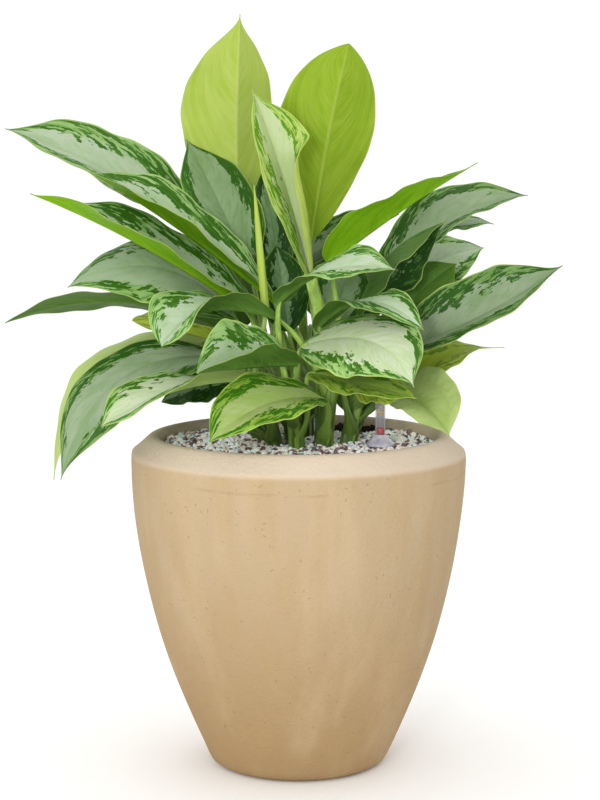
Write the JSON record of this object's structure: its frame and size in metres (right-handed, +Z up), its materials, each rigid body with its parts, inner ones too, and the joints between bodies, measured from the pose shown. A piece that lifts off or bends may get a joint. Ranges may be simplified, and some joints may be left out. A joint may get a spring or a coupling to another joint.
{
  "type": "potted silver bay chinese evergreen",
  "caption": "Chinese evergreen with silver-marked leaves on short canes, growing in a tapered round planter topped with mineral grains and a water level gauge.",
  "frame": {"origin": "centre of the planter's foot, on the floor it stands on", "axes": "+Z up through the planter's middle; -Y is the front, the side the picture shows; +X is to the viewer's right"},
  "size_m": [0.6608, 0.4533, 0.9063],
  "materials": {
    "clay": "matt, unglazed, sand coloured",
    "grains": "loose mineral grains, pale with some blue-white and brown",
    "soil": "moist dark potting soil",
    "clear": "clear plastic",
    "red": "red-orange plastic",
    "cane": "smooth green stem",
    "silver": "satin leaf, silver-green with a dark green broken border",
    "lime": "satin leaf, plain yellow-green"
  },
  "bodies": {
    "root": {"cane_A": "cane", "cane_B": "cane", "cane_C": "cane", "cane_D": "cane", "cane_E": "cane", "cane_F": "cane", "cane_G": "cane", "cane_H": "cane", "cane_I": "cane", "gauge_collar": "clear", "gauge_float": "red", "gauge_tube": "clear", "granulate": "grains", "leaf_01": "lime", "leaf_02": "lime", "leaf_03": "silver", "leaf_04": "silver", "leaf_05": "silver", "leaf_06": "silver", "leaf_07": "silver", "leaf_08": "silver", "leaf_09": "lime", "leaf_10": "silver", "leaf_11": "silver", "leaf_12": "silver", "leaf_13": "lime", "leaf_14": "silver", "leaf_15": "silver", "leaf_16": "silver", "leaf_17": "silver", "leaf_18": "silver", "leaf_19": "lime", "leaf_20": "lime", "leaf_21": "silver", "leaf_22": "lime", "leaf_23": "silver", "leaf_24": "silver", "leaf_25": "silver", "leaf_26": "silver", "leaf_27": "silver", "leaf_28": "silver", "leaf_29": "silver", "leaf_30": "silver", "leaf_31": "silver", "leaf_32": "silver", "leaf_33": "silver", "leaf_34": "silver", "leaf_35": "silver", "leaf_36": "silver", "leaf_37": "silver", "leaf_38": "silver", "leaf_39": "silver", "leaf_40": "silver", "leaf_41": "silver", "leaf_42": "silver", "leaf_43": "lime", "pot": "clay", "root_ball": "soil"}
  },
  "joints": []
}
